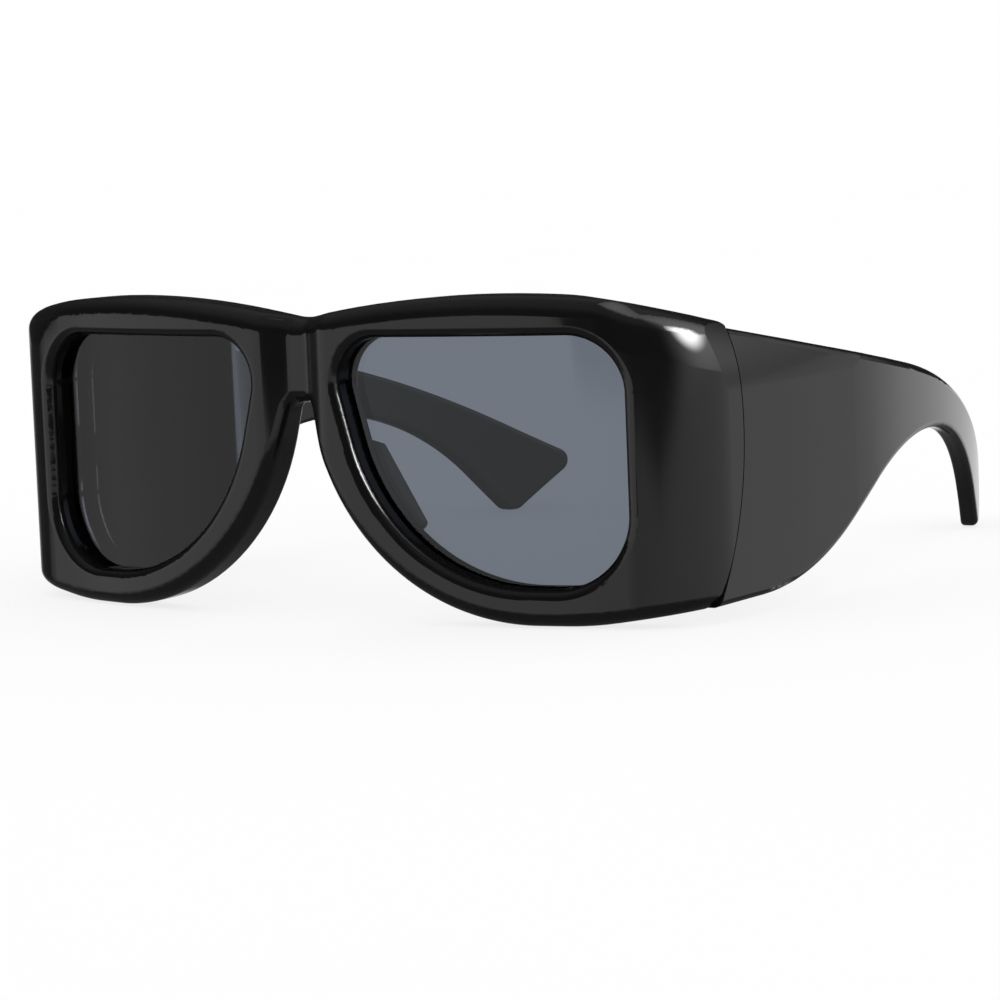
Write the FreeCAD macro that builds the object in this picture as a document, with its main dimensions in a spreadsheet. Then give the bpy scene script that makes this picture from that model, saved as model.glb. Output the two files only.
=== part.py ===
"""Oversized wrap sunglasses: moulded front, two tinted lenses, two wide temples on riveted hinges.

Millimetres. +X is the wearer's left, +Y points back to the ears, +Z is up. While the pieces are
built, y is 0 at the foremost point of the front; at the end everything moves so that the origin
lies under the middle of the whole pair, on the surface that it stands on.
"""
import FreeCAD
import Part
import Sketcher
import math
import os

doc = FreeCAD.newDocument("sunglasses")

SIZES = {
    # Front seen from above
    "frame_width": 151.0,
    "front_curve_radius": 235.0,
    "front_sweep": 14.5,
    "corner_radius": 16.0,
    "rim_depth": 8.0,
    "side_wall": 3.8,
    "inner_corner_radius": 5.0,
    # Front seen from ahead
    "frame_height": 57.4,
    "brow_peak_x": 39.0,
    "brow_radius": 185.0,
    "brow_slope": 10.0,
    "brow_dip_radius": 12.0,
    "rim_nose_x": 12.7,
    "rim_nose_radius": 43.5,
    "rim_flat_end": 56.0,
    "rim_flat_radius": 60.0,
    "rim_rise": 0.15,
    "arch_half_width": 2.4,
    "arch_drop": 18.9,
    "arch_radius": 2.0,
    "valley_depth": 2.6,
    "valley_floor": 2.2,
    "valley_shoulder": 6.6,
    "valley_edge": 9.5,
    "valley_floor_radius": 3.0,
    "valley_shoulder_radius": 5.0,
    # Lens opening, seen from ahead
    "top_rim": 7.1,
    "lens_bottom": 6.5,
    "temple_rim": 12.5,
    "lens_nose_top_x": 7.1,
    "lens_nose_bottom_x": 18.8,
    "lens_nose_top_radius": 8.0,
    "lens_temple_top_radius": 10.0,
    "lens_temple_bottom_radius": 13.0,
    "lens_nose_bottom_radius": 35.0,
    "lens_setback": 3.6,
    "lens_thickness": 2.0,
    "groove_depth": 1.0,
    "groove_fit": 0.05,
    # Side wing of the front, and the seam where the temple starts
    "wing_drop": 7.0,
    "wing_fall": 0.2,
    "wing_lean": 0.153,
    "seam_y": 28.9,
    "seam_drop": 24.4,
    "seam_radius": 50.0,
    "seam_gap": 0.3,
    # Lean of the upper sides, seen from ahead
    "crown_drop": 12.4,
    "crown_radius": 50.0,
    "crown_lean": 12.0,
    # Temple seen from the side and from above
    "temple_drop": 7.5,
    "temple_bend_y": 126.2,
    "temple_bend_drop": 24.1,
    "temple_bend_radius": 200.0,
    "temple_end_y": 170.4,
    "temple_end_z": 10.3,
    "temple_heel_y": 154.5,
    "temple_heel_flat": 3.0,
    "temple_end_radius": 2.6,
    "temple_arch_y": 115.5,
    "temple_arch_drop": 18.5,
    "temple_arch_radius": 54.0,
    "temple_belly_y": 53.5,
    "temple_belly_z": 2.7,
    "temple_belly_radius": 66.0,
    "temple_straight_end": 70.0,
    "temple_curve_radius": 217.0,
    "temple_toe_in": 26.0,
    "temple_tip_wall": 3.6,
    # Edge roundings
    "brow_blend": 20.0,
    "brow_round": 3.4,
    "rim_round": 2.6,
    "opening_round": 1.8,
    "back_round": 1.0,
    "temple_outer_round": 1.4,
    "temple_inner_round": 0.8,
    # Nose pads
    "pad_top_z": 33.0,
    "pad_bottom_z": 13.0,
    "pad_width": 4.6,
    "pad_inset": 0.8,
    "pad_slant": 0.62,
    "pad_root": 2.4,
    "pad_length": 5.0,
    "pad_flare": 2.0,
    "pad_tip_width": 2.7,
    "pad_tip_trim": 2.5,
    "pad_round": 0.9,
    # Hinge
    "knuckle_radius": 1.5,
    "knuckle_height": 2.6,
    "knuckle_gap": 0.1,
    "knuckle_clear": 0.3,
    "screw_radius": 0.7,
    "screw_fit": 0.05,
    "screw_head_radius": 1.3,
    "screw_head_height": 0.8,
    "screw_slot_width": 0.4,
    "front_leaf_length": 5.2,
    "temple_leaf_length": 13.0,
    "leaf_thickness": 1.0,
    "leaf_seat": 0.5,
    "leaf_end_gap": 0.4,
    "rivet_spacing": 4.8,
    "rivet_inset": 2.6,
    "rivet_radius": 0.6,
    "rivet_head_radius": 1.0,
    "rivet_head_height": 0.45,
    "rivet_depth": 2.6,
}

# Places that follow from the sizes: heights are measured down from the top of the front
PLACES = {
    "arch_height": "frame_height - arch_drop",
    "lens_top": "frame_height - top_rim",
    "lens_temple_x": "frame_width / 2 - temple_rim",
    "wing_top": "frame_height - wing_drop",
    "seam_z": "frame_height - seam_drop",
    "crown_z": "frame_height - crown_drop",
    "temple_top": "frame_height - temple_drop",
    "temple_bend_z": "frame_height - temple_bend_drop",
    "temple_arch_z": "frame_height - temple_arch_drop",
}

sheet = doc.addObject("Spreadsheet::Sheet", "Sizes")
for row, (alias, number) in enumerate(SIZES.items(), start=1):
    sheet.set("A%d" % row, alias)
    sheet.set("B%d" % row, str(number))
    sheet.setAlias("B%d" % row, alias)
doc.recompute()

# How far cutting shapes reach past what they cut
REACH = 12.0
# Radius that a large rounding may have at most, as a share of the side that it takes up
ROUND_SHARE = 1.2
VERTICAL = FreeCAD.Vector(0, 0, 1)
BACKWARD = FreeCAD.Vector(0, 1, 0)
OUTWARD = FreeCAD.Vector(1, 0, 0)
PLANES = {
    "above": FreeCAD.Rotation(),
    "ahead": FreeCAD.Rotation(OUTWARD, 90),
    "side": FreeCAD.Rotation(FreeCAD.Vector(1, 1, 1), 120),
}


def cell(expression):
    """Turns plain names of sizes and places into references to the sheet's cells."""
    words = []
    for word in expression.split():
        if word in PLACES:
            word = "( %s )" % cell(PLACES[word])
        elif word in SIZES:
            word = "Sizes." + word
        words.append(word)
    return " ".join(words)


def value(expression):
    """The number that an expression of sizes gives."""
    result = sheet.evalExpression(cell(str(expression)))
    return float(getattr(result, "Value", result))


def bind(item, path, expression):
    item.setExpression(path, cell(str(expression)))


def corner_arc(before, at, after, radius):
    """Tangent points and centre of the rounding at one corner of an outline."""
    back = (before - at).normalize()
    ahead = (after - at).normalize()
    half = back.getAngle(ahead) / 2
    reach = radius / math.tan(half)
    middle = (back + ahead).normalize()
    centre = at + middle * (radius / math.sin(half))
    return at + back * reach, centre - middle * radius, at + ahead * reach


def outline(name, plane, corners, depth="0"):
    """A closed sketch of straight sides and rounded corners, each held by sizes of the sheet.

    corners lists (x, y, radius) as expressions; radius "0" leaves the corner sharp. depth is how
    far back the sketch lies.
    """
    sketch = doc.addObject("Sketcher::SketchObject", name)
    sketch.Placement = FreeCAD.Placement(FreeCAD.Vector(), PLANES[plane])
    bind(sketch, "Placement.Base.y", depth)
    points = [FreeCAD.Vector(value(x), value(y), 0) for x, y, radius in corners]
    count = len(points)
    rounds = []
    for i in range(count):
        radius = value(corners[i][2])
        if radius > 0:
            rounds.append(corner_arc(points[i - 1], points[i], points[(i + 1) % count], radius))
        else:
            rounds.append((points[i], None, points[i]))
    side_ids = []
    for i in range(count):
        ahead = rounds[(i + 1) % count]
        side_ids.append(sketch.addGeometry(Part.LineSegment(rounds[i][2], ahead[0]), False))
    for i in range(count):
        x, y, radius = corners[i]
        before = side_ids[i - 1]
        after = side_ids[i]
        mark = sketch.addGeometry(Part.Point(points[i]), True)
        for kind, expression in (("DistanceX", x), ("DistanceY", y)):
            index = sketch.addConstraint(Sketcher.Constraint(kind, -1, 1, mark, 1, value(expression)))
            bind(sketch, "Constraints[%d]" % index, expression)
        if rounds[i][1] is None:
            sketch.addConstraint(Sketcher.Constraint("Coincident", before, 2, mark, 1))
            sketch.addConstraint(Sketcher.Constraint("Coincident", after, 1, mark, 1))
            continue
        arc = sketch.addGeometry(Part.Arc(*rounds[i]), False)
        start, end = (1, 2)
        if (sketch.getPoint(arc, 1) - rounds[i][0]).Length > (sketch.getPoint(arc, 2) - rounds[i][0]).Length:
            start, end = (2, 1)
        sketch.addConstraint(Sketcher.Constraint("Tangent", before, 2, arc, start))
        sketch.addConstraint(Sketcher.Constraint("Tangent", after, 1, arc, end))
        sketch.addConstraint(Sketcher.Constraint("PointOnObject", mark, 1, before))
        sketch.addConstraint(Sketcher.Constraint("PointOnObject", mark, 1, after))
        index = sketch.addConstraint(Sketcher.Constraint("Radius", arc, value(radius)))
        bind(sketch, "Constraints[%d]" % index, radius)
    return sketch


def extrusion(name, base, direction, forward, backward="0"):
    item = doc.addObject("Part::Extrusion", name)
    item.Base = base
    item.DirMode = "Custom"
    item.Dir = direction
    item.Solid = True
    bind(item, "LengthFwd", forward)
    bind(item, "LengthRev", backward)
    return item


def cylinder(name, radius, height, x, y, z, turn=None):
    item = doc.addObject("Part::Cylinder", name)
    bind(item, "Radius", radius)
    bind(item, "Height", height)
    place(item, x, y, z, turn)
    return item


def box(name, length, width, height, x, y, z):
    item = doc.addObject("Part::Box", name)
    bind(item, "Length", length)
    bind(item, "Width", width)
    bind(item, "Height", height)
    place(item, x, y, z)
    return item


def place(item, x, y, z, turn=None):
    if turn:
        item.Placement = FreeCAD.Placement(FreeCAD.Vector(), turn)
    for axis, expression in (("x", x), ("y", y), ("z", z)):
        bind(item, "Placement.Base." + axis, expression)


def common(name, pieces):
    item = doc.addObject("Part::MultiCommon", name)
    item.Shapes = pieces
    return item


def fuse(name, pieces):
    item = doc.addObject("Part::MultiFuse", name)
    item.Shapes = pieces
    item.Refine = True
    return item


def cut(name, base, tool):
    item = doc.addObject("Part::Cut", name)
    item.Base = base
    item.Tool = tool
    return item


def mirrored(name, source):
    """The same piece on the wearer's right."""
    item = doc.addObject("Part::Mirroring", name)
    item.Source = source
    item.Base = FreeCAD.Vector()
    item.Normal = OUTWARD
    return item


def together(name, pieces):
    item = doc.addObject("Part::Compound", name)
    item.Links = pieces
    return item


def pair(name, left):
    """A left piece and its mirror image, as one tool."""
    return together(name, [left, mirrored(name + "_right", left)])


def edge_names(shape, wanted):
    """Names of the edges whose two faces pass the test."""
    names = []
    for index, edge in enumerate(shape.Edges, start=1):
        faces = shape.ancestorsOfType(edge, Part.Face)
        if len(faces) == 2 and wanted(edge, faces):
            names.append("Edge%d" % index)
    return names


def facing(face):
    """Middle point and outward normal of a face."""
    u0, u1, v0, v1 = face.ParameterRange
    u, v = ((u0 + u1) / 2, (v0 + v1) / 2)
    return face.valueAt(u, v), face.normalAt(u, v)


def rounded(name, base, steps):
    """A body that takes a built piece and rounds its edges, one radius at a time."""
    body = doc.addObject("PartDesign::Body", name)
    body.BaseFeature = base
    doc.recompute()
    last = body.Tip
    for number, (radius, wanted) in enumerate(steps, start=1):
        names = edge_names(body.Shape, wanted)
        fillet = body.newObject("PartDesign::Fillet", "%s_round_%d" % (name, number))
        fillet.Base = (last, names)
        bind(fillet, "Radius", radius)
        doc.recompute()
        last = fillet
        body.Tip = fillet
    doc.recompute()
    return body


# Front: a band bent around the face, cut to the outlines seen from ahead and from the side
half_width = "frame_width / 2"
sweep = "min( front_sweep * 1 deg ; asin( ( %s - corner_radius ) / front_curve_radius ) )" % half_width
bow = "front_curve_radius * ( 1 / cos( %s ) - 1 )" % cell(sweep)
inner_bow = "rim_depth - ( front_curve_radius - rim_depth ) * ( 1 / cos( %s ) - 1 )" % cell(sweep)
corner_y = "%s * tan( %s ) - %s" % (half_width, cell(sweep), bow)
inner_half = "( %s - side_wall )" % half_width
inner_y = "%s * tan( %s ) + %s" % (inner_half, cell(sweep), inner_bow)
band_end = "seam_y + %s" % REACH
valley_turn = "asin( %s )" % cell("valley_edge / front_curve_radius")
arc_turn = "( ( %s + %s ) / 2 )" % (cell(sweep), valley_turn)
arc_reach = "front_curve_radius / cos( ( %s - %s ) / 2 )" % (cell(sweep), valley_turn)
arc_x = "%s * sin( %s )" % (arc_reach, arc_turn)
arc_y = "front_curve_radius - %s * cos( %s )" % (arc_reach, arc_turn)
shoulder_y = ("front_curve_radius * ( 1 - cos( %s ) ) + ( valley_shoulder - valley_edge ) * tan( %s )"
              % (valley_turn, valley_turn))

front_plan = outline("front_plan", "above", [
    (half_width, band_end, "0"),
    (half_width, corner_y, "corner_radius"),
    (arc_x, arc_y, "front_curve_radius"),
    ("valley_shoulder", shoulder_y, "valley_shoulder_radius"),
    ("valley_floor", "valley_depth", "valley_floor_radius"),
    ("- valley_floor", "valley_depth", "valley_floor_radius"),
    ("- valley_shoulder", shoulder_y, "valley_shoulder_radius"),
    ("- " + arc_x, arc_y, "front_curve_radius"),
    ("- " + half_width, corner_y, "corner_radius"),
    ("- " + half_width, band_end, "0"),
    ("- " + inner_half, band_end, "0"),
    ("- " + inner_half, inner_y, "inner_corner_radius"),
    ("0", inner_bow, "front_curve_radius - rim_depth"),
    (inner_half, inner_y, "inner_corner_radius"),
    (inner_half, band_end, "0"),
])
front_band = extrusion("front_band", front_plan, VERTICAL, "frame_height + %s" % REACH, REACH)


# Where the lens ends, clear of the rounded corners, and its largest rounding
corner_reach = "corner_radius * cos( %s ) / tan( 45 deg + %s / 2 )" % (cell(sweep), cell(sweep))
lens_end = "min( lens_temple_x ; %s - %s - groove_depth / 2 )" % (half_width, corner_reach)
lens_side = "( lens_top - lens_bottom - lens_nose_top_radius )"
lens_base = "( %s - lens_nose_bottom_x - lens_temple_bottom_radius )" % lens_end
lens_room = "min( %s ; %s ) * %s" % (lens_side, lens_base, ROUND_SHARE)
lens_round = "min( lens_nose_bottom_radius ; %s )" % lens_room
brow_z = "frame_height + brow_radius * ( 1 / cos( %s ) - 1 )" % cell("brow_slope * 1 deg")
brow_slope = "tan( %s )" % cell("brow_slope * 1 deg")
slab_end = "( frame_width / 2 + %s )" % REACH
nose_rim = "rim_nose_radius - lens_nose_bottom_radius"
nose_round = "min( arch_height * %s ; %s + %s )" % (ROUND_SHARE, lens_round, nose_rim)
right_half = [
    ("brow_peak_x", brow_z, "brow_radius"),
    (slab_end, "%s - ( %s - brow_peak_x ) * %s" % (brow_z, slab_end, brow_slope), "0"),
    (slab_end, "rim_rise * ( %s - rim_flat_end )" % slab_end, "0"),
    ("rim_flat_end", "0", "rim_flat_radius"),
    ("rim_nose_x", "0", nose_round),
    ("arch_half_width", "arch_height", "arch_radius"),
]
left_half = [("- " + x, z, radius) for x, z, radius in reversed(right_half)]
dip = [("0", "%s - brow_peak_x * %s" % (brow_z, brow_slope), "brow_dip_radius")]
front_outline = outline("front_outline", "ahead", dip + right_half + left_half)
front_slab = extrusion("front_slab", front_outline, BACKWARD, "seam_y + %s" % (2 * REACH), REACH)


def seam_outline(name, gap):
    """Everything ahead of the seam, whose line is an arc seen from the side."""
    turn_y = "seam_y + %s + seam_radius * ( sqrt( 2 ) - 1 )" % gap
    reach = "( frame_height + %s )" % REACH
    far = "- 2 * frame_height"
    return outline(name, "side", [
        (turn_y, "seam_z", "seam_radius"),
        ("%s - %s" % (turn_y, reach), "seam_z + " + reach, "0"),
        (far, "seam_z + " + reach, "0"),
        (far, "seam_z - " + reach, "0"),
        ("%s - %s" % (turn_y, reach), "seam_z - " + reach, "0"),
    ])


wing_z = "wing_top + wing_lean * frame_width / 2 + wing_fall * ( seam_y - %s )"
wing_ends = ["( - %s )" % REACH, "( seam_y + %s )" % REACH]
wing_slope = outline("wing_slope", "side", [
    (wing_ends[0], wing_z % wing_ends[0], "0"),
    (wing_ends[1], wing_z % wing_ends[1], "0"),
    (wing_ends[1], "frame_height * 2", "0"),
    (wing_ends[0], "frame_height * 2", "0"),
])
lean = FreeCAD.Vector(1, 0, -value("wing_lean"))
wing_cutter = pair("wing_cutters", extrusion("wing_cutter", wing_slope, lean, "frame_width"))
front_bar = common("front_bar", [front_band, front_slab])
front_wings = cut("front_wings", front_bar, wing_cutter)


def side_of_front(face):
    """Which side of the bent front a face is on: outer, inner, top, bottom or end."""
    point, normal = facing(face)
    if normal.z > 0.5:
        return "top"
    if normal.z < -0.01:
        return "bottom"
    if point.y > value("seam_y") and normal.y > 0.9:
        return "end"
    away = normal.x * point.x
    on_wing = abs(point.x) > value("lens_temple_x")
    if normal.y < -0.2 or (on_wing and away > 0):
        return "outer"
    return "inner"


def between(first, second):
    """A test for edges that part faces of two kinds."""
    def wanted(edge, faces):
        kinds = sorted(side_of_front(face) for face in faces)
        return kinds == sorted((first, second))
    return wanted


def creased(edge, faces):
    """Where the brow meets the sloping top of a wing."""
    if side_of_front(faces[0]) != "top" or side_of_front(faces[1]) != "top":
        return False
    return min(abs(vertex.X) for vertex in edge.Vertexes) > value("brow_peak_x")


def back_edge(edge, faces):
    """The edges of the side that faces the wearer."""
    return between("inner", "top")(edge, faces) or between("inner", "bottom")(edge, faces)


front_rounded = rounded("front_rounded", front_wings, [
    ("brow_blend", creased),
    ("brow_round", between("outer", "top")),
    ("rim_round", between("outer", "bottom")),
    ("back_round", back_edge),
])

# Seam cut, and the lean of the upper sides that wings and temples share
crown_top = "frame_height + %s" % REACH
crown_x = "%s - ( %s - crown_z ) * tan( %s )" % (half_width, crown_top, cell("crown_lean * 1 deg"))
crown_line = outline("crown_line", "ahead", [
    (half_width, str(-REACH), "0"),
    (half_width, "crown_z", "crown_radius"),
    (crown_x, crown_top, "0"),
    ("- ( %s )" % crown_x, crown_top, "0"),
    ("- " + half_width, "crown_z", "crown_radius"),
    ("- " + half_width, str(-REACH), "0"),
])
crown = extrusion("crown", crown_line, BACKWARD, "temple_end_y + %s" % REACH, REACH)
wing_slab = extrusion("wing_slab", seam_outline("seam_line", "0"), OUTWARD, "frame_width", "frame_width")
front_crowned = common("front_crowned", [front_rounded, crown])
front_seamed = common("front_seamed", [front_crowned, wing_slab])

# Lens openings, and the lens that sits in a groove around each of them
lens_line = outline("lens_line", "ahead", [
    ("lens_nose_top_x", "lens_top", "lens_nose_top_radius"),
    (lens_end, "lens_top", "lens_temple_top_radius"),
    (lens_end, "lens_bottom", "lens_temple_bottom_radius"),
    ("lens_nose_bottom_x", "lens_bottom", lens_round),
])
opening = extrusion("lens_opening", lens_line, BACKWARD, "seam_y", REACH)
front_open = cut("front_open", front_seamed, pair("lens_openings", opening))


def opening_edge(setback):
    """Edges of the lens openings that lie a given depth behind the face of the front."""
    def wanted(edge, faces):
        middle = edge.valueAt((edge.FirstParameter + edge.LastParameter) / 2)
        radius = math.hypot(middle.x, value("front_curve_radius") - middle.y)
        walls = [face for face in faces if abs(facing(face)[1].y) < 0.01]
        inside = value("lens_bottom") - 0.1 < middle.z < value("lens_top") + 0.1
        on_face = abs(value("front_curve_radius") - value(setback) - radius) < 0.05
        return on_face and len(walls) == 1 and inside
    return wanted


front_smooth = rounded("front_smooth", front_open, [
    ("opening_round", opening_edge("0")),
    ("back_round", opening_edge("rim_depth")),
])


def lens_blank(name, fit):
    """A bent sheet with the lens outline; fit is the slack that its groove adds all round."""
    edge = doc.addObject("Part::Offset2D", name + "_edge")
    edge.Source = lens_line
    bind(edge, "Value", "groove_depth + " + fit)
    prism = extrusion(name + "_prism", edge, BACKWARD, "seam_y", REACH)
    outer = cylinder(name + "_face", "front_curve_radius - lens_setback + " + fit,
                     "frame_height", "0", "front_curve_radius", "0")
    inner = cylinder(name + "_back", "front_curve_radius - lens_setback - lens_thickness - " + fit,
                     "frame_height", "0", "front_curve_radius", "0")
    return common(name, [prism, cut(name + "_ring", outer, inner)])


# Nose pads, moulded on the nose side of each rim and flaring outwards to the back
nose_slope = "( rim_nose_x - arch_half_width ) / arch_height"


def pad_section(name, depth, shift, width, trim):
    """One end of the left pad, seen from ahead: a slim bar along the nose side of the rim."""
    corners = []
    top = "( pad_top_z - %s )" % trim
    bottom = "( pad_bottom_z + %s )" % trim
    for z, across in ((top, "0"), (top, width), (bottom, width), (bottom, "0")):
        nose_x = "arch_half_width + ( arch_height - pad_top_z ) * %s + pad_inset" % nose_slope
        corners.append(("%s + ( pad_top_z - %s ) * pad_slant + %s + %s" % (nose_x, z, across, shift),
                        z, "pad_round"))
    return outline(name, "ahead", corners, depth)


pad = doc.addObject("Part::Loft", "nose_pad")
pad.Sections = [pad_section("pad_root_line", "rim_depth - pad_root", "0", "pad_width", "0"),
                pad_section("pad_end_line", "rim_depth + pad_length", "pad_flare",
                            "pad_tip_width", "pad_tip_trim")]
pad.Solid = True
pad.Ruled = True
front_padded = fuse("front_padded", [front_smooth, pad, mirrored("nose_pad_right", pad)])
lens_left = lens_blank("lens_left", "0")
grooves = pair("lens_grooves", lens_blank("lens_groove", "groove_fit"))
front_grooved = cut("front_grooved", front_padded, grooves)

# Left temple: its side outline cut from a band that bends inwards to the tip
temple_slope = "( temple_top - temple_bend_z ) / ( temple_bend_y - seam_y )"
temple_line = outline("temple_line", "side", [
    ("0", "temple_top + seam_y * " + temple_slope, "0"),
    ("temple_bend_y", "temple_bend_z", "temple_bend_radius"),
    ("temple_end_y", "temple_end_z", "temple_end_radius"),
    ("temple_heel_y + temple_heel_flat / 2", "0", "temple_end_radius"),
    ("temple_heel_y - temple_heel_flat / 2", "0", "temple_end_radius"),
    ("temple_arch_y", "temple_arch_z", "temple_arch_radius"),
    ("temple_belly_y", "temple_belly_z", "temple_belly_radius"),
    ("0", "temple_belly_z", "0"),
])
temple_slab = extrusion("temple_slab", temple_line, OUTWARD, "frame_width")
toe_sin = "sin( %s )" % cell("temple_toe_in * 1 deg")
toe_cos = "cos( %s )" % cell("temple_toe_in * 1 deg")
toe_half = "tan( %s )" % cell("temple_toe_in * 0.5 deg")
turn_y = "( temple_straight_end + temple_curve_radius * %s )" % toe_half
tail = "( ( temple_end_y + %s - %s ) / %s )" % (REACH, turn_y, toe_cos)
tail_x = "%s - %s * %s" % (half_width, tail, toe_sin)
tail_y = "%s + %s * %s" % (turn_y, tail, toe_cos)
thinning = "( side_wall - temple_tip_wall * %s ) / %s" % (toe_cos, toe_sin)
temple_plan = outline("temple_plan", "above", [
    (half_width, "0", "0"),
    (half_width, turn_y, "temple_curve_radius"),
    (tail_x, tail_y, "0"),
    ("%s - temple_tip_wall * %s" % (tail_x, toe_cos), "%s - temple_tip_wall * %s" % (tail_y, toe_sin), "0"),
    (inner_half, "%s + %s * %s - temple_tip_wall * %s" % (turn_y, thinning, toe_cos, toe_sin),
     "temple_curve_radius - side_wall"),
    (inner_half, "0", "0"),
])
temple_band = extrusion("temple_band", temple_plan, VERTICAL, "frame_height", REACH)
temple_bar = common("temple_bar", [temple_slab, temple_band, crown])
temple_seam = extrusion("temple_seam", seam_outline("temple_seam_line", "seam_gap"), OUTWARD, "frame_width")
temple_blank = cut("temple_blank", temple_bar, temple_seam)


def temple_edge(direction):
    """Edges all round the outer (1) or inner (-1) face of the temple, but not at the seam."""
    def wanted(edge, faces):
        sides = []
        others = []
        for face in faces:
            point, normal = facing(face)
            if normal.x * direction > 0.5:
                sides.append(face)
            elif abs(normal.x) < 0.01:
                others.append((point, normal))
        if len(sides) != 1 or len(others) != 1:
            return False
        point, normal = others[0]
        at_seam = point.y < value("seam_y + seam_gap") + 0.1 and normal.y < -0.3
        return not at_seam
    return wanted


temple_rounded = rounded("temple_rounded", temple_blank, [
    ("temple_outer_round", temple_edge(1)),
    ("temple_inner_round", temple_edge(-1)),
])

# Left hinge, where the seam reaches farthest back: two leaves, one screw, rivets into the plastic
leaf_x = "( %s - leaf_thickness + leaf_seat )" % inner_half
hinge_x = "( %s - knuckle_radius - knuckle_clear )" % leaf_x
hinge_height = "( 3 * knuckle_height + 2 * knuckle_gap )"
hinge_low = "( seam_z - %s / 2 )" % hinge_height
WEB_BITE = 0.2


def leaf(name, start, length, web_start, levels, rivets):
    """One hinge leaf: a plate along the wall, and the knuckles at the given levels of the hinge."""
    pieces = [box(name + "_plate", "leaf_thickness", length, hinge_height, leaf_x, start, hinge_low)]
    for level in levels:
        z = "%s + %d * ( knuckle_height + knuckle_gap )" % (hinge_low, level)
        pieces.append(cylinder("%s_knuckle_%d" % (name, level), "knuckle_radius", "knuckle_height",
                               hinge_x, "seam_y", z))
        pieces.append(box("%s_web_%d" % (name, level), "%s - %s + %s" % (leaf_x, hinge_x, WEB_BITE),
                          "knuckle_radius", "knuckle_height", hinge_x, web_start, z))
    bore = cylinder(name + "_bore", "screw_radius + screw_fit", hinge_height, hinge_x, "seam_y", hinge_low)
    bored = cut(name + "_bored", fuse(name + "_blank", pieces), bore)
    return bored, cut(name, bored, rivets)


def rivet_pair(name, places):
    """Two rivets: heads on the leaf, shanks through it into blind holes in the plastic."""
    across = FreeCAD.Rotation(BACKWARD, 90)
    pieces = []
    for number, (y, z) in enumerate(places, start=1):
        head = cylinder("%s_head_%d" % (name, number), "rivet_head_radius", "rivet_head_height",
                        "%s - rivet_head_height" % leaf_x, y, z, across)
        shank = cylinder("%s_shank_%d" % (name, number), "rivet_radius", "rivet_depth", leaf_x, y, z, across)
        pieces.append(fuse("%s_%d" % (name, number), [head, shank]))
    return together(name + "_set", pieces)


front_start = "( seam_y - leaf_end_gap - front_leaf_length )"
temple_start = "( seam_y + leaf_end_gap )"
front_rivet_set = rivet_pair("front_rivets", [
    (front_start + " + rivet_inset", "seam_z - rivet_spacing / 2"),
    (front_start + " + rivet_inset", "seam_z + rivet_spacing / 2"),
])
last_rivet = temple_start + " + temple_leaf_length - rivet_inset"
temple_rivet_set = rivet_pair("temple_rivets", [
    (last_rivet + " - rivet_spacing", "seam_z"),
    (last_rivet, "seam_z"),
])
front_rivets = together("front_rivets_left", [front_rivet_set])
temple_rivets = together("temple_rivets_left", [temple_rivet_set])
front_seat, front_leaf = leaf("front_hinge_leaf_left", front_start, "front_leaf_length",
                              "seam_y - knuckle_radius", (0, 2), front_rivet_set)
temple_seat, temple_leaf = leaf("temple_hinge_leaf_left", temple_start, "temple_leaf_length",
                                "seam_y", (1,), temple_rivet_set)
screw_top = "%s + %s" % (hinge_low, hinge_height)
screw_blank = fuse("screw_blank", [
    cylinder("screw_shank", "screw_radius", hinge_height, hinge_x, "seam_y", hinge_low),
    cylinder("screw_head", "screw_head_radius", "screw_head_height", hinge_x, "seam_y", screw_top),
])
screw_slot = box("screw_slot", "2 * screw_head_radius", "screw_slot_width", "screw_head_height",
                 "%s - screw_head_radius" % hinge_x, "seam_y - screw_slot_width / 2",
                 "%s + screw_head_height / 2" % screw_top)
hinge_screw = cut("hinge_screw_left", screw_blank, screw_slot)


def hinge_seat(name, plastic, leaves, rivets):
    """The plastic piece with the pockets that take its leaves and rivets."""
    return cut(name, cut(name + "_seated", plastic, leaves), rivets)


front_frame = hinge_seat("front_frame", front_grooved, pair("front_leaf_seats", front_seat),
                         pair("front_rivet_holes", front_rivet_set))
temple_left = hinge_seat("temple_left", temple_rounded, temple_seat, temple_rivet_set)
doc.recompute()

# The origin lies under the middle of the whole pair
extent = front_frame.Shape.optimalBoundingBox()
extent.add(temple_left.Shape.optimalBoundingBox())
row = len(SIZES) + 1
sheet.set("A%d" % row, "middle_y")
sheet.set("B%d" % row, str(extent.Center.y))
sheet.setAlias("B%d" % row, "middle_y")
left_nodes = [lens_left, temple_left, front_leaf, temple_leaf, hinge_screw, front_rivets, temple_rivets]
nodes = [front_frame]
for item in left_nodes:
    nodes.append(item)
    nodes.append(mirrored(item.Name.replace("_left", "_right"), item))
for item in [front_frame] + left_nodes:
    item.setExpression("Placement.Base.y", "- Sizes.middle_y")
doc.recompute()

for item in doc.Objects:
    if "Invalid" in item.State or "Error" in item.State:
        raise RuntimeError("%s failed: %s" % (item.Name, item.State))
os.makedirs("parts", exist_ok=True)
for item in nodes:
    if item.Shape.isNull() or not item.Shape.isValid():
        raise RuntimeError("%s has no sound shape" % item.Name)
    item.Label = item.Name
    item.Shape.exportStep("parts/%s.step" % item.Label)
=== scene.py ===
"""Looks of the oversized sunglasses: gloss black plastic, smoke lenses and steel hinges."""
import bpy
import math
from functools import partial
from mathutils import Matrix, Vector

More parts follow.
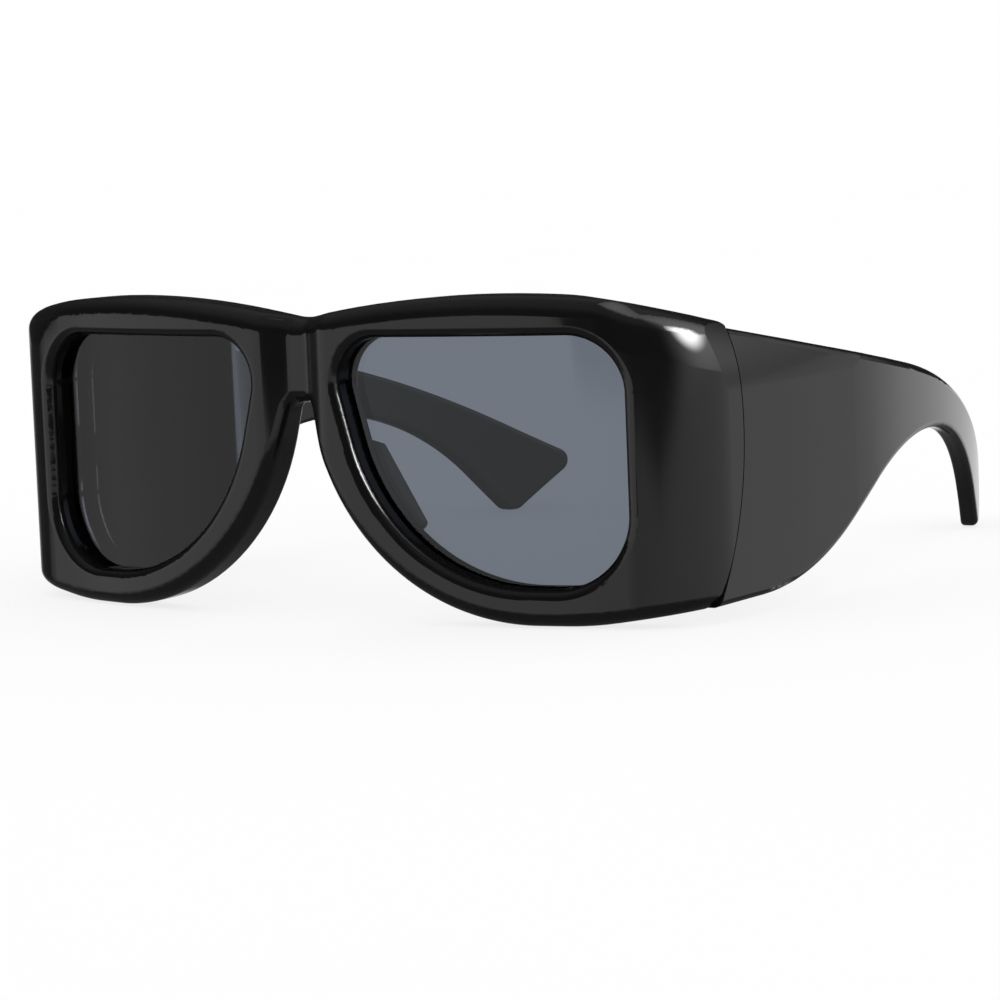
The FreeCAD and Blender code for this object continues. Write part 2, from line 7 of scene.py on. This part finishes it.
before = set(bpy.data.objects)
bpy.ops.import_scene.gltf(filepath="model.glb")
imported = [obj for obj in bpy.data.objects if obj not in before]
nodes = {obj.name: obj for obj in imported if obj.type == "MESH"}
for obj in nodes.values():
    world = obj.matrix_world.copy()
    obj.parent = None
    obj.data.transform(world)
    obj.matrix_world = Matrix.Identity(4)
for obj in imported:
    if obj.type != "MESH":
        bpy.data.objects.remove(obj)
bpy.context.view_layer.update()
scene = bpy.context.scene

# Camera, at the photograph's viewing angle: metres and degrees, in the part's frame
CAMERA_PLACE = Vector((0.38591, -0.60103, 0.09191))
CAMERA_AZIMUTH = 33.890
CAMERA_ELEVATION = 5.821
CAMERA_ROLL = -2.352
CAMERA_LENS = 131.34
CAMERA_SENSOR = 36
CAMERA_SHIFT = (0.02586, -0.03406)
CAMERA_NEAR = 0.01

# Black plastic: cloud scale and detail, its two shades, and its range of roughness
PLASTIC_CLOUD = (60, 4)
PLASTIC_SHADES = ((0.0035, 0.0035, 0.0038), (0.0065, 0.0065, 0.0070))
PLASTIC_GLOSS = (0.06, 0.10)
PLASTIC_IOR = 1.5

# Top of the side wings and the soft shoulder below it, in metres
HALF_WIDTH = 0.0755
SEAM_Y = -0.0552
WING_TOP = 0.0504
WING_LEAN = 0.153
WING_FALL = 0.2
SHOULDER_HEIGHT = 0.009
SHOULDER_BEND = 30
# Distance in from the sides over which the shoulder sets in
SHOULDER_INSET = (0.017, 0.009)

# Smoke lens: cloud scale, the two tints that each surface lets through, and its gloss
LENS_CLOUD = 25
LENS_TINTS = ((0.376, 0.404, 0.444), (0.390, 0.418, 0.460))
LENS_ROUGHNESS = 0.02
LENS_IOR = 1.5

# Hinge steel: brushing along its height, shades and range of roughness
STEEL_BRUSH = (4000, 4000, 200)
STEEL_SHADES = ((0.42, 0.42, 0.42), (0.62, 0.62, 0.61))
STEEL_GLOSS = (0.22, 0.38)

# Floor: shades in the light that it gives the object, shades that the camera sees, and the share of its
# whiteness that no shadow takes away
FLOOR_SIZE = 6
FLOOR_DROP = 0.0002
FLOOR_PALE = ((0.90, 0.90, 0.90), (0.92, 0.92, 0.92))
FLOOR_WHITE = ((0.99, 0.99, 0.99), (1.0, 1.0, 1.0))
FLOOR_GLOW = 0.8

# What the gloss reflects, by azimuth in degrees: 0 is ahead of the wearer and 90 on their left
ROOM_RADIUS = 2.5
ROOM_SEGMENTS = 96
ROOM_RINGS = 48
WALLS = ((-180, 0.95), (-150, 0.75), (-110, 0.05), (-84, 0.05), (-62, 0.82), (-4, 0.78), (10, 0.50),
         (60, 0.62), (110, 0.66), (149, 0.60), (162, 0.95), (180, 0.95))
# Elevation up to which the pale walls reach, and how softly they end there
SKYLINE = ((-180, 1.0), (-84, 1.0), (-70, 9.0), (-14, 9.0), (-4, -3.5), (40, -5.3), (81, -3.2),
           (110, -2.4), (149, -2.4), (152, 1.0), (180, 1.0))
SKYLINE_SOFTNESS = 0.7
# Grey table, and the elevations between which the walls pass into it
TABLE_LIGHT = 0.12
TABLE_FROM = (-11, -24)
# Dark ceiling, and the elevations between which it grows lighter overhead
CEILING_LIGHT = 0.03
OVERHEAD_LIGHT = 0.20
OVERHEAD_FROM = (20, 60)
# Soft box: its azimuth and elevation; brightness, outer and inner reach of its core and of its wide glow;
# the azimuths between which the glow sets in
SOFT_BOX_AT = (96, 34)
SOFT_BOX_CORE = (24, 24, 9)
SOFT_BOX_GLOW = (2.0, 76, 20)
GLOW_FROM = (50, 105)


def direction(azimuth, elevation):
    """Unit vector from angles in degrees; azimuth 0 is ahead of the wearer and 90 on their left."""
    azimuth = math.radians(azimuth)
    elevation = math.radians(elevation)
    level = math.cos(elevation)
    return Vector((math.sin(azimuth) * level, -math.cos(azimuth) * level, math.sin(elevation)))


def add_camera():
    """The camera, turned to its azimuth and elevation and then rolled about its own axis."""
    azimuth = math.radians(CAMERA_AZIMUTH)
    roll = math.radians(CAMERA_ROLL)
    back = direction(CAMERA_AZIMUTH, CAMERA_ELEVATION)
    level = Vector((math.cos(azimuth), math.sin(azimuth), 0))
    upright = back.cross(level)
    right = level * math.cos(roll) + upright * math.sin(roll)
    up = upright * math.cos(roll) - level * math.sin(roll)
    camera = bpy.data.objects.new("camera", bpy.data.cameras.new("camera"))
    turn = Matrix((right, up, back)).transposed().to_4x4()
    camera.matrix_world = Matrix.Translation(CAMERA_PLACE) @ turn
    camera.data.lens = CAMERA_LENS
    camera.data.sensor_width = CAMERA_SENSOR
    camera.data.shift_x, camera.data.shift_y = CAMERA_SHIFT
    camera.data.clip_start = CAMERA_NEAR
    scene.collection.objects.link(camera)
    scene.camera = camera


def new_material(name):
    """An empty node material, its node list, and a function that links two sockets."""
    material = bpy.data.materials.new(name)
    material.use_nodes = True
    tree = material.node_tree
    tree.nodes.clear()
    return material, tree.nodes, tree.links.new


def math_node(add, link, operation, *values):
    """One arithmetic node; each value is a number or the socket that gives it."""
    node = add.new("ShaderNodeMath")
    node.operation = operation
    for socket, value in zip(node.inputs, values):
        if isinstance(value, (int, float)):
            socket.default_value = value
        else:
            link(value, socket)
    return node.outputs["Value"]


def fade(add, link, value, start, end):
    """0 before start and 1 after end, with a smooth passage between them."""
    node = add.new("ShaderNodeMapRange")
    node.interpolation_type = "SMOOTHSTEP"
    link(value, node.inputs["Value"])
    node.inputs["From Min"].default_value = start
    node.inputs["From Max"].default_value = end
    return node.outputs["Result"]


def spread(add, link, value, low, high):
    """A value between 0 and 1 spread out from low to high."""
    node = add.new("ShaderNodeMapRange")
    link(value, node.inputs["Value"])
    node.inputs["To Min"].default_value = low
    node.inputs["To Max"].default_value = high
    return node.outputs["Result"]


def shade(add, link, value, shades):
    """A colour between two shades."""
    ramp = add.new("ShaderNodeValToRGB")
    for point, colour in zip(ramp.color_ramp.elements, shades):
        point.color = (*colour, 1)
    link(value, ramp.inputs["Fac"])
    return ramp.outputs["Color"]


def by_azimuth(add, link, turn, steps):
    """A value that goes in straight steps round the room; turn runs from 0 to 1 with the azimuth."""
    low = min(value for angle, value in steps)
    high = max(value for angle, value in steps)
    ramp = add.new("ShaderNodeValToRGB")
    link(turn, ramp.inputs["Fac"])
    points = ramp.color_ramp.elements
    while len(points) < len(steps):
        points.new(1)
    for point, (angle, value) in zip(points, steps):
        point.position = angle / 360 + 0.5
        level = (value - low) / (high - low)
        point.color = (level, level, level, 1)
    return spread(add, link, ramp.outputs["Color"], low, high)


def background_rays(add, link):
    """1 for the rays that show the background: straight to the camera, in gloss or through glass."""
    path = add.new("ShaderNodeLightPath")
    seen = path.outputs["Is Camera Ray"]
    for kind in ("Is Glossy Ray", "Is Transmission Ray"):
        seen = math_node(add, link, "MAXIMUM", seen, path.outputs[kind])
    return seen


def shoulder_relief(add, link, place):
    """Normals that lean over towards the top of each side wing, as on a softly rounded shoulder."""
    calculate = partial(math_node, add, link)
    split = add.new("ShaderNodeSeparateXYZ")
    link(place, split.inputs["Vector"])
    x, y, z = (split.outputs[axis] for axis in "XYZ")
    inset = calculate("SUBTRACT", HALF_WIDTH, calculate("ABSOLUTE", x))
    behind = calculate("SUBTRACT", y, SEAM_Y)
    lean = calculate("MULTIPLY", inset, WING_LEAN)
    fall = calculate("MULTIPLY", behind, WING_FALL)
    top = calculate("ADD", calculate("SUBTRACT", lean, fall), WING_TOP)
    below = calculate("SUBTRACT", top, z)
    rise = calculate("MAXIMUM", calculate("SUBTRACT", SHOULDER_HEIGHT, below), 0)
    bend = calculate("MULTIPLY", calculate("POWER", rise, 2), -SHOULDER_BEND)
    on_wing = fade(add, link, inset, *SHOULDER_INSET)
    relief = add.new("ShaderNodeBump")
    relief.inputs["Distance"].default_value = 1
    link(calculate("MULTIPLY", bend, on_wing), relief.inputs["Height"])
    return relief.outputs["Normal"]


def black_plastic(name, shoulder=False):
    """Polished black moulding: deep black with a faint cloudiness, and a slight unevenness of the gloss."""
    material, add, link = new_material(name)
    output = add.new("ShaderNodeOutputMaterial")
    shader = add.new("ShaderNodeBsdfPrincipled")
    place = add.new("ShaderNodeTexCoord")
    cloud = add.new("ShaderNodeTexNoise")
    cloud.inputs["Scale"].default_value, cloud.inputs["Detail"].default_value = PLASTIC_CLOUD
    link(place.outputs["Object"], cloud.inputs["Vector"])
    link(shade(add, link, cloud.outputs["Fac"], PLASTIC_SHADES), shader.inputs["Base Color"])
    link(spread(add, link, cloud.outputs["Fac"], *PLASTIC_GLOSS), shader.inputs["Roughness"])
    shader.inputs["IOR"].default_value = PLASTIC_IOR
    if shoulder:
        link(shoulder_relief(add, link, place.outputs["Object"]), shader.inputs["Normal"])
    link(shader.outputs["BSDF"], output.inputs["Surface"])
    return material


def smoke_lens():
    """Tinted lens: clear grey smoke with a plain glossy reflection on both sides."""
    material, add, link = new_material("smoke_lens")
    output = add.new("ShaderNodeOutputMaterial")
    place = add.new("ShaderNodeTexCoord")
    cloud = add.new("ShaderNodeTexNoise")
    cloud.inputs["Scale"].default_value = LENS_CLOUD
    clear = add.new("ShaderNodeBsdfTransparent")
    shine = add.new("ShaderNodeBsdfGlossy")
    shine.inputs["Roughness"].default_value = LENS_ROUGHNESS
    edge = add.new("ShaderNodeFresnel")
    edge.inputs["IOR"].default_value = LENS_IOR
    mix = add.new("ShaderNodeMixShader")
    link(place.outputs["Object"], cloud.inputs["Vector"])
    link(shade(add, link, cloud.outputs["Fac"], LENS_TINTS), clear.inputs["Color"])
    link(edge.outputs["Fac"], mix.inputs["Fac"])
    link(clear.outputs["BSDF"], mix.inputs[1])
    link(shine.outputs["BSDF"], mix.inputs[2])
    link(mix.outputs["Shader"], output.inputs["Surface"])
    return material


def hinge_steel():
    """Plain steel with fine brushing along its height."""
    material, add, link = new_material("hinge_steel")
    output = add.new("ShaderNodeOutputMaterial")
    shader = add.new("ShaderNodeBsdfPrincipled")
    place = add.new("ShaderNodeTexCoord")
    stretch = add.new("ShaderNodeMapping")
    stretch.inputs["Scale"].default_value = STEEL_BRUSH
    brush = add.new("ShaderNodeTexNoise")
    brush.inputs["Scale"].default_value = 1
    link(place.outputs["Object"], stretch.inputs["Vector"])
    link(stretch.outputs["Vector"], brush.inputs["Vector"])
    link(shade(add, link, brush.outputs["Fac"], STEEL_SHADES), shader.inputs["Base Color"])
    link(spread(add, link, brush.outputs["Fac"], *STEEL_GLOSS), shader.inputs["Roughness"])
    shader.inputs["Metallic"].default_value = 1
    link(shader.outputs["BSDF"], output.inputs["Surface"])
    return material


def dress():
    """Gives every piece of the part its material."""
    front = black_plastic("gloss_black_front", shoulder=True)
    temple = black_plastic("gloss_black_temple")
    lens = smoke_lens()
    steel = hinge_steel()
    for name, piece in nodes.items():
        material = steel
        if name == "front_frame":
            material = front
        elif name in ("temple_left", "temple_right"):
            material = temple
        elif name.startswith("lens"):
            material = lens
        piece.data.materials.clear()
        piece.data.materials.append(material)


def add_floor():
    """A plain white table top that keeps the soft shadow under the rims and tips."""
    bpy.ops.mesh.primitive_plane_add(size=FLOOR_SIZE, location=(0, 0, -FLOOR_DROP))
    floor = bpy.context.object
    floor.name = "floor"
    floor.visible_glossy = False
    material, add, link = new_material("white_floor")
    output = add.new("ShaderNodeOutputMaterial")
    shader = add.new("ShaderNodeBsdfDiffuse")
    place = add.new("ShaderNodeTexCoord")
    cloud = add.new("ShaderNodeTexNoise")
    link(place.outputs["Object"], cloud.inputs["Vector"])
    pale = shade(add, link, cloud.outputs["Fac"], FLOOR_PALE)
    white = shade(add, link, cloud.outputs["Fac"], FLOOR_WHITE)
    seen = background_rays(add, link)
    # The colour sockets of this node share their names with others, so they go by number
    mix = add.new("ShaderNodeMix")
    mix.data_type = "RGBA"
    link(seen, mix.inputs["Factor"])
    link(pale, mix.inputs[6])
    link(white, mix.inputs[7])
    link(mix.outputs[2], shader.inputs["Color"])
    glow = add.new("ShaderNodeEmission")
    link(white, glow.inputs["Color"])
    blend = add.new("ShaderNodeMixShader")
    link(math_node(add, link, "MULTIPLY", seen, FLOOR_GLOW), blend.inputs["Fac"])
    link(shader.outputs["BSDF"], blend.inputs[1])
    link(glow.outputs["Emission"], blend.inputs[2])
    link(blend.outputs["Shader"], output.inputs["Surface"])
    floor.data.materials.append(material)


def add_studio():
    """The room that the gloss reflects: pale walls, grey table, dark ceiling with one soft box."""
    bpy.ops.mesh.primitive_uv_sphere_add(segments=ROOM_SEGMENTS, ring_count=ROOM_RINGS, radius=ROOM_RADIUS)
    room = bpy.context.object
    room.name = "studio_room"
    bpy.ops.object.shade_smooth()
    room.visible_camera = False
    room.visible_diffuse = False
    room.visible_transmission = False
    room.visible_shadow = False
    material, add, link = new_material("studio_room")
    calculate = partial(math_node, add, link)

    def pass_into(value, other, share):
        """From value to other as share goes from 0 to 1."""
        return calculate("ADD", value, calculate("MULTIPLY", share, calculate("SUBTRACT", other, value)))

    place = add.new("ShaderNodeTexCoord")
    split = add.new("ShaderNodeSeparateXYZ")
    link(place.outputs["Object"], split.inputs["Vector"])
    x, y, z = (split.outputs[axis] for axis in "XYZ")
    azimuth = calculate("DEGREES", calculate("ARCTAN2", x, calculate("MULTIPLY", y, -1)))
    elevation = calculate("DEGREES", calculate("ARCSINE", calculate("DIVIDE", z, ROOM_RADIUS)))
    turn = calculate("ADD", calculate("DIVIDE", azimuth, 360), 0.5)
    above = calculate("SUBTRACT", elevation, by_azimuth(add, link, turn, SKYLINE))
    ceiling = fade(add, link, above, -SKYLINE_SOFTNESS, SKYLINE_SOFTNESS)
    overhead = fade(add, link, elevation, *OVERHEAD_FROM)
    dark = calculate("ADD", calculate("MULTIPLY", overhead, OVERHEAD_LIGHT - CEILING_LIGHT), CEILING_LIGHT)
    light = pass_into(by_azimuth(add, link, turn, WALLS), dark, ceiling)
    light = pass_into(light, TABLE_LIGHT, fade(add, link, elevation, *TABLE_FROM))
    # One soft box under the ceiling, by the angle from its middle
    aim = add.new("ShaderNodeVectorMath")
    aim.operation = "DOT_PRODUCT"
    link(place.outputs["Object"], aim.inputs[0])
    aim.inputs[1].default_value = direction(*SOFT_BOX_AT) / ROOM_RADIUS
    reach = calculate("DEGREES", calculate("ARCCOSINE", aim.outputs["Value"]))
    far_side = fade(add, link, azimuth, *GLOW_FROM)
    for (brightness, rim, core), share in ((SOFT_BOX_CORE, ceiling), (SOFT_BOX_GLOW, far_side)):
        lamp = calculate("MULTIPLY", fade(add, link, reach, rim, core), brightness)
        lamp = calculate("MULTIPLY", lamp, calculate("MULTIPLY", share, ceiling))
        light = calculate("ADD", light, lamp)
    output = add.new("ShaderNodeOutputMaterial")
    glow = add.new("ShaderNodeEmission")
    link(light, glow.inputs["Strength"])
    link(glow.outputs["Emission"], output.inputs["Surface"])
    room.data.materials.append(material)


def add_light():
    """Even white light from all round."""
    world = bpy.data.worlds.new("studio")
    scene.world = world
    world.use_nodes = True
    add = world.node_tree.nodes
    link = world.node_tree.links.new
    add.clear()
    output = add.new("ShaderNodeOutputWorld")
    light = add.new("ShaderNodeBackground")
    light.inputs["Strength"].default_value = 1.0
    light.inputs["Color"].default_value = (1, 1, 1, 1)
    link(light.outputs["Background"], output.inputs["Surface"])


add_camera()
dress()
add_floor()
add_studio()
add_light()
scene.view_settings.view_transform = "Standard"
